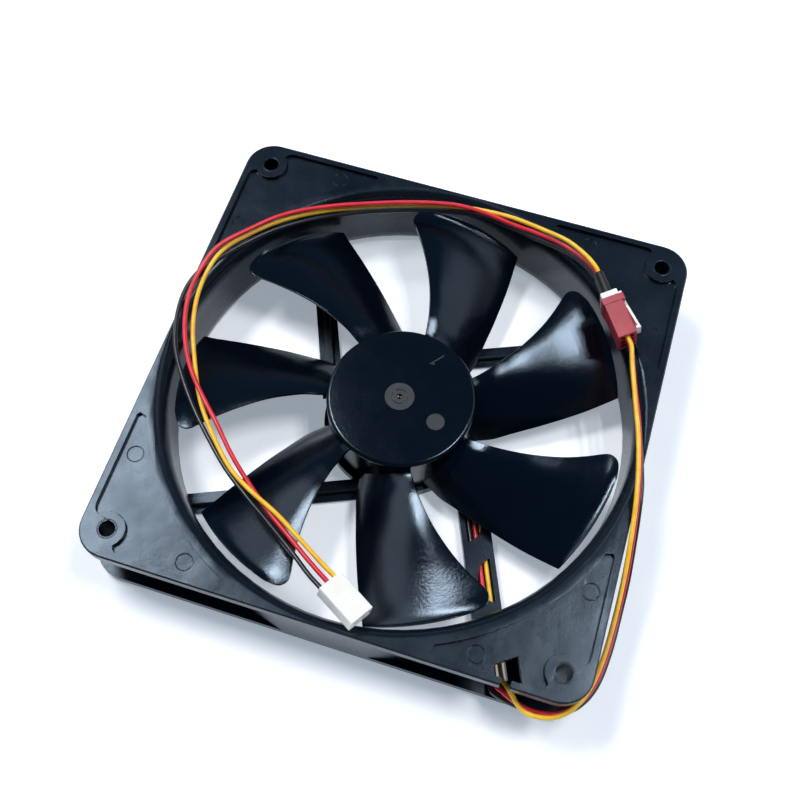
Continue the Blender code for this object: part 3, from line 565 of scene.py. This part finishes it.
def make_smoother():
    group = bpy.data.node_groups.new("smooth_sides", "GeometryNodeTree")
    group.interface.new_socket("Geometry", in_out="INPUT", socket_type="NodeSocketGeometry")
    group.interface.new_socket("Geometry", in_out="OUTPUT", socket_type="NodeSocketGeometry")
    start = group.nodes.new("NodeGroupInput")
    end = group.nodes.new("NodeGroupOutput")
    weld = group.nodes.new("GeometryNodeMergeByDistance")
    weld.inputs["Distance"].default_value = WELD_DISTANCE
    smooth = group.nodes.new("GeometryNodeSetShadeSmooth")
    smooth.domain = "FACE"
    sharp = group.nodes.new("GeometryNodeSetShadeSmooth")
    sharp.domain = "EDGE"
    sharp.inputs["Shade Smooth"].default_value = False
    angle = group.nodes.new("GeometryNodeInputMeshEdgeAngle")
    over = group.nodes.new("FunctionNodeCompare")
    over.operation = "GREATER_THAN"
    over.inputs[1].default_value = SHARP_ANGLE
    link = group.links.new
    link(start.outputs[0], weld.inputs["Geometry"])
    link(weld.outputs[0], smooth.inputs["Geometry"])
    link(smooth.outputs[0], sharp.inputs["Geometry"])
    link(angle.outputs["Unsigned Angle"], over.inputs[0])
    link(over.outputs[0], sharp.inputs["Selection"])
    link(sharp.outputs[0], end.inputs[0])
    return group


smooth_sides = make_smoother()


def soften(piece, width=0.0):
    """Rounds the sharp edges by a width in millimetres, then shades the sides smooth."""
    if width:
        weld = piece.modifiers.new("weld", "WELD")
        weld.merge_threshold = WELD_DISTANCE
        edges = piece.modifiers.new("soft_edges", "BEVEL")
        edges.width = width * MM
        edges.segments = BEVEL_STEPS
        edges.limit_method = "ANGLE"
        edges.angle_limit = BEVEL_ANGLE
        edges.harden_normals = False
    shade = piece.modifiers.new("smooth_sides", "NODES")
    shade.node_group = smooth_sides
    if width:
        even = piece.modifiers.new("even_shading", "WEIGHTED_NORMAL")
        even.keep_sharp = True


def dress(node, finish, width=0.0):
    """Gives a part of the fixed frame its finish."""
    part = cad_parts[node]
    normals = part.data.attributes.get("custom_normal")
    if normals:
        part.data.attributes.remove(normals)
    part.data.materials.clear()
    part.data.materials.append(finish)
    soften(part, width)


dress("fan_frame", moulded_black, 0.12)
print("frame faces:", len(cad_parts["fan_frame"].data.polygons))

# %% [markdown]
# ## Shapes in mesh code
#
# Three small functions make most of the added pieces: one turns a profile round the Z axis, one
# joins several shapes into one, and one makes the object, outward-facing and soft-edged. They
# work in millimetres, so that the numbers read like those on a drawing.

# %% Shape helpers
def arc(radius, start, stop, steps):
    points = []
    for step in range(steps + 1):
        angle = math.radians(start + (stop - start) * step / steps)
        points.append((radius * math.cos(angle), radius * math.sin(angle)))
    return points


def turn(profile, steps=96, centre=(0.0, 0.0)):
    """A closed (radius, height) profile turned round a vertical axis."""
    points = []
    rings = []
    for radius, height in profile:
        if radius == 0:
            rings.append([len(points)] * steps)
            points.append((centre[0], centre[1], height))
            continue
        rings.append([len(points) + i for i in range(steps)])
        points += [(x + centre[0], y + centre[1], height) for x, y in arc(radius, 0, 360, steps)[:-1]]
    faces = []
    for lower, upper in zip(rings, rings[1:] + rings[:1]):
        for i in range(steps):
            j = (i + 1) % steps
            face = tuple(dict.fromkeys((lower[i], lower[j], upper[j], upper[i])))
            if len(face) > 2:
                faces.append(face)
    return points, faces


def placed(shape, matrix):
    points, faces = shape
    return [tuple(matrix @ Vector(point)) for point in points], faces


def together(*shapes):
    points = []
    faces = []
    for shape_points, shape_faces in shapes:
        start = len(points)
        points += shape_points
        faces += [tuple(start + i for i in face) for face in shape_faces]
    return points, faces


def add_piece(name, shape, finish, body, width=0.0):
    points, faces = shape
    mesh = bpy.data.meshes.new(name)
    mesh.from_pydata([Vector(point) * MM for point in points], [], faces)
    shell = bmesh.new()
    shell.from_mesh(mesh)
    bmesh.ops.recalc_face_normals(shell, faces=shell.faces)
    shell.to_mesh(mesh)
    shell.free()
    mesh.materials.append(finish)
    piece = bpy.data.objects.new(name, mesh)
    bpy.context.scene.collection.objects.link(piece)
    soften(piece, width)
    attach(piece, body)
    return piece


# %% [markdown]
# ## The frame's small marks
#
# Each screw hole has a thin raised rim, and each corner pocket has two round marks where pins
# pushed the moulding out of its mould. They are shallow rings, so they catch the light as thin
# lines.

# %% Screw seats and ejector marks
HOLE_PITCH = 124.5
POCKET_DEPTH = 1.3
FRAME_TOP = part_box("fan_frame")[1].z / MM
POCKET_FLOOR = FRAME_TOP - POCKET_DEPTH
HOLE_RIM_RADIUS = 2.6
EJECTOR_RADIUS = 2.3
EJECTOR_PLACES = [(39.7, 64.2), (64.1, 40.0)]
MARK_STEPS = 64
SUNK = 0.05  # how far an added mark reaches into the face that it stands on


def ring(radius, width, bottom, height, centre):
    """A low ring with a rounded top."""
    inner, outer = radius - width / 2, radius + width / 2
    crown = [(radius + x * width / 2, bottom + height * y)
             for x, y in arc(1.0, 0, 180, 6)]
    return turn([(outer, bottom - SUNK)] + crown + [(inner, bottom - SUNK)], MARK_STEPS, centre)


def four_corners(places):
    """The same places in all four corners of the frame."""
    found = []
    for x, y in places:
        for quarter in range(4):
            corner = Matrix.Rotation(math.radians(90 * quarter), 2) @ Vector((x, y))
            found.append((corner.x, corner.y))
    return found


holes = four_corners([(HOLE_PITCH / 2, HOLE_PITCH / 2)])
mouths = [ring(HOLE_RIM_RADIUS, 0.35, FRAME_TOP, 0.07, corner) for corner in holes]
add_piece("screw_hole_rims", together(*mouths), moulded_black, "frame")
marks = [ring(EJECTOR_RADIUS, 0.28, POCKET_FLOOR, 0.11, place)
         for place in four_corners(EJECTOR_PLACES)]
add_piece("ejector_rings", together(*marks), moulded_black, "frame")
print("marks:", len(mouths), "hole rims and", len(marks), "ejector rings")

# %% [markdown]
# ## The impeller's plastic
#
# The impeller comes from a polished mould, so it is smoother and glossier than the frame: the
# light panels lie on the blades as long pale streaks. A polished surface still has slow, faint
# waves where the thin plastic sank as it cooled, and they make the streaks waver.

# %% Impeller finish
def make_polished_black():
    finish, shader = start_finish("polished_black", (0.0010, 0.0028, 0.0060), 0.2,
                                  Specular_IOR_Level=0.55)
    shader.inputs["Specular Tint"].default_value = BLUE_SHEEN
    flow = noise(finish, 30.0, 3.0)
    feed(finish, ramp(finish, flow, [(0.3, (0.0006, 0.0020, 0.0045)),
                                     (0.7, (0.0014, 0.0036, 0.0075))]), shader, "Base Color")
    feed(finish, spread(finish, noise(finish, 160.0, 4.0, 0.6), 0.06, 0.17), shader, "Roughness")
    bump(finish, shader, noise(finish, 60.0, 3.0), 0.00030, 0.35)
    bump(finish, shader, noise(finish, 1400.0, 4.0, 0.7), 0.00006, 0.6)
    return finish


polished_black = make_polished_black()

# %% [markdown]
# ## The blades
#
# A blade is a thin curved plate. It is given here by its two edges: at several distances from
# the axis, the angle and height of the leading edge and of the trailing edge. Between the edges
# the plate falls slowly at first and steeply at the end. Smooth curves through these stations
# give as many sections as the eye needs.

# %% Blade sections
HUB_RADIUS = 21.5
HUB_FACE = 21.0
HUB_BOTTOM = 4.6
BLADE_COUNT = 7
BLADE_THICKNESS = 1.5
BLADE_EDGE_THICKNESS = 0.6
STATION_PARTS = 3
BLADE_COLUMNS = 19
EVEN_FALL = 0.4  # the share of a blade's fall that is even from edge to edge
LATE_FALL_POWER = 2.2
TAPER_RATE = 5
TAPER_START = 0.3
BLADE_STATIONS = (
    (20.8, -65.8, 17.3, -106.0, 4.9),
    (24.0, -64.8, 17.5, -102.5, 5.1),
    (28.0, -63.7, 18.3, -99.5, 5.6),
    (32.0, -62.2, 18.6, -95.9, 6.4),
    (36.0, -60.7, 18.9, -93.1, 7.0),
    (40.0, -59.1, 19.0, -90.9, 7.5),
    (45.0, -57.0, 19.0, -88.5, 8.0),
    (50.0, -54.9, 19.1, -86.5, 8.5),
    (55.0, -52.7, 19.5, -84.7, 9.1),
    (60.0, -50.6, 20.0, -83.0, 9.9),
    (62.4, -50.9, 20.0, -82.3, 10.4),
    (63.8, -52.4, 20.0, -81.9, 10.8),
    (64.5, -55.6, 19.9, -81.7, 11.0),
)


def blade(stations, columns):
    front = []
    back = []
    for radius, lead_angle, lead_height, trail_angle, trail_height in stations:
        middle_line = []
        for column in range(columns):
            share = column / (columns - 1)
            fall = EVEN_FALL * share + (1 - EVEN_FALL) * share ** LATE_FALL_POWER
            angle = math.radians(lead_angle + (trail_angle - lead_angle) * share)
            middle_line.append((angle, lead_height + (trail_height - lead_height) * fall))
        for column, (angle, height) in enumerate(middle_line):
            share = column / (columns - 1)
            before = middle_line[max(column - 1, 0)]
            after = middle_line[min(column + 1, columns - 1)]
            run = radius * (after[0] - before[0])
            rise = after[1] - before[1]
            length = math.hypot(run, rise)
            full = min(1.0, TAPER_RATE * share + TAPER_START, TAPER_RATE * (1 - share) + TAPER_START)
            half = (BLADE_EDGE_THICKNESS + (BLADE_THICKNESS - BLADE_EDGE_THICKNESS) * full) / 2
            for side, sign in ((front, 1), (back, -1)):
                turned = angle + sign * half * rise / length / radius
                side.append((radius * math.cos(turned), radius * math.sin(turned),
                             height - sign * half * run / length))
    loop = list(range(columns)) + [len(front) + i for i in reversed(range(columns))]
    faces = []
    for row in range(len(stations) - 1):
        for i, j in zip(loop, loop[1:] + loop[:1]):
            a, b = i + row * columns, j + row * columns
            faces.append((a, b, b + columns, a + columns))
    last = (len(stations) - 1) * columns
    for i in range(columns - 1):
        top = len(front)
        faces.append((i, i + 1, top + i + 1, top + i))
        faces.append((last + i, last + i + 1, last + top + i + 1, last + top + i))
    return front + back, faces


stations = smooth_curve(BLADE_STATIONS, STATION_PARTS)
one_blade = blade(stations, BLADE_COLUMNS)
print("blade sections:", len(stations), "span, mm:", round(stations[-1][0] - HUB_RADIUS, 1))

# %% [markdown]
# ## The hub
#
# The hub is a cup over the motor. Its rim is rounded by the mould, and that rounding is what
# draws the thin bright circle round the face, so it gets several steps here.

# %% Impeller
CUP_RADIUS = 20.2
CUP_ROOF = 19.4
HUB_RIM = 1.1
HUB_STEPS = 160
SHAFT_RADIUS, BOSS_RADIUS, BOSS_BOTTOM = 1.8, 3.5, 16.4


def hub_profile():
    profile = [(CUP_RADIUS, HUB_BOTTOM), (HUB_RADIUS - 0.2, HUB_BOTTOM),
               (HUB_RADIUS, HUB_BOTTOM + 0.2)]
    profile += [(HUB_RADIUS - HUB_RIM + x, HUB_FACE - HUB_RIM + y)
                for x, y in arc(HUB_RIM, 0, 90, 8)]
    profile += [(17.0, HUB_FACE), (9.0, HUB_FACE), (0.0, HUB_FACE), (0.0, CUP_ROOF)]
    profile += [(SHAFT_RADIUS, CUP_ROOF), (SHAFT_RADIUS, BOSS_BOTTOM), (BOSS_RADIUS, BOSS_BOTTOM),
                (BOSS_RADIUS, CUP_ROOF), (CUP_RADIUS, CUP_ROOF)]
    return profile


blades = []
for number in range(BLADE_COUNT):
    turned = Matrix.Rotation(math.radians(360 / BLADE_COUNT * number), 4, "Z")
    blades.append(placed(one_blade, turned))
impeller = add_piece("fan_impeller", together(turn(hub_profile(), HUB_STEPS), *blades),
                     polished_black, "rotor", 0.16)
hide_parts("impeller")
print("impeller faces before bevel:", len(impeller.data.polygons))

# %% [markdown]
# ## The hub's marks
#
# The plastic entered the mould at the middle of the hub and left a small dot in a frosted
# circle. Beside it are a plain round insert mark and a short raised line with a barb,
# which shows which way the impeller turns.

# %% Hub marks
def make_frosted_black():
    finish, shader = start_finish("frosted_black", (0.012, 0.018, 0.026), 0.5)
    grit = noise(finish, 900.0, 3.0)
    feed(finish, ramp(finish, grit, [(0.35, (0.005, 0.009, 0.014)), (0.65, (0.011, 0.018, 0.026))]),
         shader, "Base Color")
    feed(finish, spread(finish, grit, 0.42, 0.58), shader, "Roughness")
    bump(finish, shader, grit, 0.00003, 0.6)
    return finish


def low_disc(radius, height, centre):
    """A disc on the hub's face, very slightly crowned."""
    return turn([(0.0, HUB_FACE - SUNK), (radius, HUB_FACE - SUNK), (radius, HUB_FACE + height),
                 (0.0, HUB_FACE + height * 1.05)], MARK_STEPS, centre)


def line_mark(start, stop, width, height):
    """A short raised bar from one point to another on the hub's face."""
    (x0, y0), (x1, y1) = start, stop
    length = math.hypot(x1 - x0, y1 - y0)
    side_x, side_y = -(y1 - y0) / length * width / 2, (x1 - x0) / length * width / 2
    foot = [(x0 - side_x, y0 - side_y), (x1 - side_x, y1 - side_y),
            (x1 + side_x, y1 + side_y), (x0 + side_x, y0 + side_y)]
    points = [(x, y, HUB_FACE - SUNK) for x, y in foot]
    points += [(x, y, HUB_FACE + height) for x, y in foot]
    faces = [(3, 2, 1, 0), (4, 5, 6, 7), (0, 1, 5, 4), (1, 2, 6, 5), (2, 3, 7, 6), (3, 0, 4, 7)]
    return points, faces


frosted_black = make_frosted_black()
GATE = (-0.45, -0.18)
INSERT = (11.6, -4.7)
GATE_RADIUS, GATE_DOT_RADIUS, GATE_DOT_HEIGHT = 4.25, 0.85, 0.3
INSERT_RADIUS = 2.45
ARROW_WIDTH, ARROW_HEIGHT = 0.34, 0.1
add_piece("gate_frosting", low_disc(GATE_RADIUS, 0.012, GATE), frosted_black, "rotor")
dome = [(GATE_DOT_RADIUS * x, HUB_FACE + GATE_DOT_HEIGHT * y) for x, y in arc(1.0, 0, 90, 5)[:-1]]
gate_dot = turn([(0.0, HUB_FACE - SUNK)] + dome + [(0.0, HUB_FACE + GATE_DOT_HEIGHT)], 32, GATE)
add_piece("gate_dot", together(gate_dot, ring(2.2, 0.22, HUB_FACE, 0.08, GATE)), polished_black,
          "rotor")
add_piece("insert_mark", together(low_disc(INSERT_RADIUS, 0.02, INSERT),
                                  ring(2.5, 0.2, HUB_FACE, 0.07, INSERT)),
          frosted_black, "rotor")
arrow = together(line_mark((4.9, 12.3), (8.0, 16.1), ARROW_WIDTH, ARROW_HEIGHT),
                 line_mark((5.0, 12.4), (6.3, 12.7), ARROW_WIDTH, ARROW_HEIGHT))
add_piece("turning_arrow", arrow, frosted_black, "rotor")

# %% [markdown]
# ## Nylon housings
#
# Connector housings are moulded in nylon, which is slightly translucent: light scatters a little
# way in and softens the shading. A little subsurface scattering gives that. The surface has a
# fine satin grain, and the colour is slightly cloudy.

# %% Nylon finishes
def make_nylon(name, dark, light, scatter):
    finish, shader = start_finish(name, light, 0.42, Subsurface_Weight=0.25,
                                  Subsurface_Scale=0.0008)
    shader.inputs["Subsurface Radius"].default_value = scatter
    cloud = noise(finish, 220.0, 3.0)
    feed(finish, ramp(finish, cloud, [(0.3, dark), (0.7, light)]), shader, "Base Color")
    grain = noise(finish, 2400.0, 3.0)
    feed(finish, spread(finish, grain, 0.34, 0.50), shader, "Roughness")
    bump(finish, shader, grain, 0.00002, 0.5)
    bump(finish, shader, cloud, 0.00006, 0.4)
    return finish


white_nylon = make_nylon("white_nylon", (0.93, 0.90, 0.83), (0.97, 0.95, 0.90), (1.0, 0.9, 0.8))
red_nylon = make_nylon("red_nylon", (0.38, 0.035, 0.05), (0.48, 0.055, 0.075), (1.0, 0.3, 0.3))
for node in ("plug_housing", "latch_lever", "end_housing"):
    dress(node, white_nylon, 0.12)
dress("pin_housing", red_nylon, 0.12)
for node in ("thrust_washer", "lower_insulator", "upper_insulator"):
    dress(node, white_nylon)
print("nylon finishes:", white_nylon.name, red_nylon.name)

# %% [markdown]
# ## Shrunk sleeve
#
# The sleeve was shrunk over the wires with hot air, so it is satin black with faint wrinkles. A
# wave texture would be too regular, so noise gives the wrinkles.

# %% Sleeve finish
def make_shrunk_black():
    finish, shader = start_finish("shrunk_black", (0.014, 0.014, 0.017), 0.5)
    wrinkles = noise(finish, 700.0, 4.0, 0.6)
    feed(finish, ramp(finish, wrinkles, [(0.3, (0.003, 0.003, 0.004)), (0.7, (0.009, 0.010, 0.012))]),
         shader, "Base Color")
    feed(finish, spread(finish, wrinkles, 0.40, 0.58), shader, "Roughness")
    bump(finish, shader, wrinkles, 0.0001, 0.6)
    return finish


shrunk_black = make_shrunk_black()
dress("heat_shrink_sleeve", shrunk_black, 0.1)

# %% [markdown]
# ## Metals
#
# Bright steel, the stator's iron, bronze and enamelled copper wire are all metals, and differ in
# colour, roughness and grain. Drawn and turned metal has fine lines, which a noise stretched
# along one direction imitates. One recipe serves them all.

# %% Metal finishes
def scratches(finish, across, along):
    """Noise stretched along Z, for the fine lines that a tool leaves."""
    stretch = add_node(finish, "ShaderNodeMapping")
    stretch.inputs["Scale"].default_value = (across, across, along)
    finish.node_tree.links.new(place_of(finish), stretch.inputs["Vector"])
    lines = add_node(finish, "ShaderNodeTexNoise")
    lines.inputs["Scale"].default_value = 1.0
    lines.inputs["Detail"].default_value = 4.0
    finish.node_tree.links.new(stretch.outputs["Vector"], lines.inputs["Vector"])
    return lines.outputs["Fac"]


def make_metal(name, dark, bright, roughness, across=300.0, along=3500.0):
    finish, shader = start_finish(name, bright, roughness, 1.0)
    tarnish = noise(finish, 180.0, 5.0, 0.6)
    feed(finish, ramp(finish, tarnish, [(0.3, dark), (0.7, bright)]), shader, "Base Color")
    lines = scratches(finish, across, along)
    feed(finish, spread(finish, lines, roughness - 0.08, roughness + 0.12), shader, "Roughness")
    bump(finish, shader, lines, 0.00002, 0.4)
    return finish


bright_steel = make_metal("bright_steel", (0.52, 0.52, 0.50), (0.66, 0.66, 0.65), 0.26)
stator_iron = make_metal("stator_iron", (0.17, 0.17, 0.18), (0.27, 0.27, 0.28), 0.42, 200.0, 6000.0)
bearing_bronze = make_metal("bearing_bronze", (0.42, 0.27, 0.10), (0.60, 0.42, 0.18), 0.38)
enamelled_copper = make_metal("enamelled_copper", (0.40, 0.13, 0.04), (0.62, 0.24, 0.08), 0.28)
for node in ("motor_shaft", "retaining_clip", "rotor_yoke", "capacitor"):
    dress(node, bright_steel, 0.08)
for number in (1, 2, 3):
    for node in ("pin_contact_", "socket_contact_", "end_terminal_"):
        dress(f"{node}{number}", bright_steel, 0.05)
for node in ("bearing_tube", "sleeve_bearing"):
    dress(node, bearing_bronze, 0.08)
dress("stator_core", stator_iron, 0.06)
print("metal finishes:", bright_steel.name, stator_iron.name, bearing_bronze.name)

# %% [markdown]
# ## Board, chips, magnet and label
#
# These sit inside the motor and show only from behind, past the label or through the wires' way.
# A board is green lacquer over copper tracks, so a cell pattern lightens some areas. The magnet
# is a rubber strip full of ferrite dust, and the label is a plain silver-grey film.

# %% Remaining finishes
def make_board():
    finish, shader = start_finish("board_green", (0.02, 0.16, 0.06), 0.32, Coat_Weight=0.4,
                                  Coat_Roughness=0.12)
    tracks = add_node(finish, "ShaderNodeTexVoronoi", feature="DISTANCE_TO_EDGE")
    tracks.inputs["Scale"].default_value = 420.0
    finish.node_tree.links.new(place_of(finish), tracks.inputs["Vector"])
    feed(finish, ramp(finish, tracks.outputs["Distance"],
                      [(0.05, (0.012, 0.10, 0.035)), (0.12, (0.035, 0.22, 0.075))]),
         shader, "Base Color")
    feed(finish, spread(finish, noise(finish, 900.0), 0.25, 0.4), shader, "Roughness")
    bump(finish, shader, tracks.outputs["Distance"], 0.00004, 0.5)
    return finish


def make_dull(name, dark, light, scale, low, high, relief):
    """A dull moulded or printed surface: cloudy colour, uneven roughness and a fine relief."""
    finish, shader = start_finish(name, light, (low + high) / 2)
    cloud = noise(finish, scale, 5.0, 0.6)
    feed(finish, ramp(finish, cloud, [(0.3, dark), (0.7, light)]), shader, "Base Color")
    feed(finish, spread(finish, cloud, low, high), shader, "Roughness")
    bump(finish, shader, noise(finish, scale * 4, 2.0), relief, 0.5)
    return finish


board_green = make_board()
chip_black = make_dull("chip_black", (0.010, 0.010, 0.011), (0.022, 0.022, 0.024), 1500.0, 0.45,
                       0.6, 0.00002)
magnet_rubber = make_dull("magnet_rubber", (0.035, 0.034, 0.033), (0.06, 0.058, 0.056), 900.0,
                          0.6, 0.8, 0.00004)
label_film = make_dull("label_film", (0.66, 0.67, 0.68), (0.76, 0.77, 0.78), 120.0, 0.28, 0.42,
                       0.000008)
dress("circuit_board", board_green, 0.05)
for node in ("driver_chip", "hall_sensor", "bearing_cap"):
    dress(node, chip_black, 0.08)
dress("magnet_ring", magnet_rubber, 0.1)
dress("rear_label", label_film, 0.05)

# %% [markdown]
# ## Windings
#
# A coil is one enamelled wire wound round an arm of the stator, layer on layer. The fixed part
# stands for the whole winding. Drawing the outer layer as a long wire would cost much geometry
# for something seldom seen, so each coil is a stack of rounded loops, one for each turn.

# %% Coils
TURNS = 13
FIRST_TURN = 7.23
LAST_TURN = 12.47
COIL_HALF_WIDTH, COIL_HALF_HEIGHT, COIL_CORNER = 4.05, 5.05, 1.0
COIL_MIDDLE = 10.5
COIL_WIRE_RADIUS = 0.22
COIL_WIRE_SIDES = 8


def loop_of_wire(along):
    """One rounded rectangular loop of round wire round an arm that lies along X."""
    path = []
    for quarter, (side, level) in enumerate(((1, 1), (-1, 1), (-1, -1), (1, -1))):
        for x, y in arc(COIL_CORNER, 90 * quarter, 90 * quarter + 90, 4):
            out = Vector((x, y)).normalized()
            path.append((side * (COIL_HALF_WIDTH - COIL_CORNER) + x,
                         level * (COIL_HALF_HEIGHT - COIL_CORNER) + y, out))
    points = []
    for y, z, out in path:
        for x, lift in arc(COIL_WIRE_RADIUS, 0, 360, COIL_WIRE_SIDES)[:-1]:
            points.append((along + x, y + out.x * lift, COIL_MIDDLE + z + out.y * lift))
    faces = []
    count = len(path)
    for step in range(count):
        for i in range(COIL_WIRE_SIDES):
            j = (i + 1) % COIL_WIRE_SIDES
            a, b = step * COIL_WIRE_SIDES, (step + 1) % count * COIL_WIRE_SIDES
            faces.append((a + i, a + j, b + j, b + i))
    return points, faces


def winding():
    gap = (LAST_TURN - FIRST_TURN) / (TURNS - 1)
    return together(*[loop_of_wire(FIRST_TURN + gap * number) for number in range(TURNS)])


coil_turns = winding()
for number in range(4):
    turned = Matrix.Rotation(math.radians(90 * number), 4, "Z")
    dress(f"coil_{number + 1}", enamelled_copper, 0.1)
    add_piece(f"coil_wire_{number + 1}", placed(coil_turns, turned), enamelled_copper, "frame")
print("turns drawn on each coil:", TURNS)
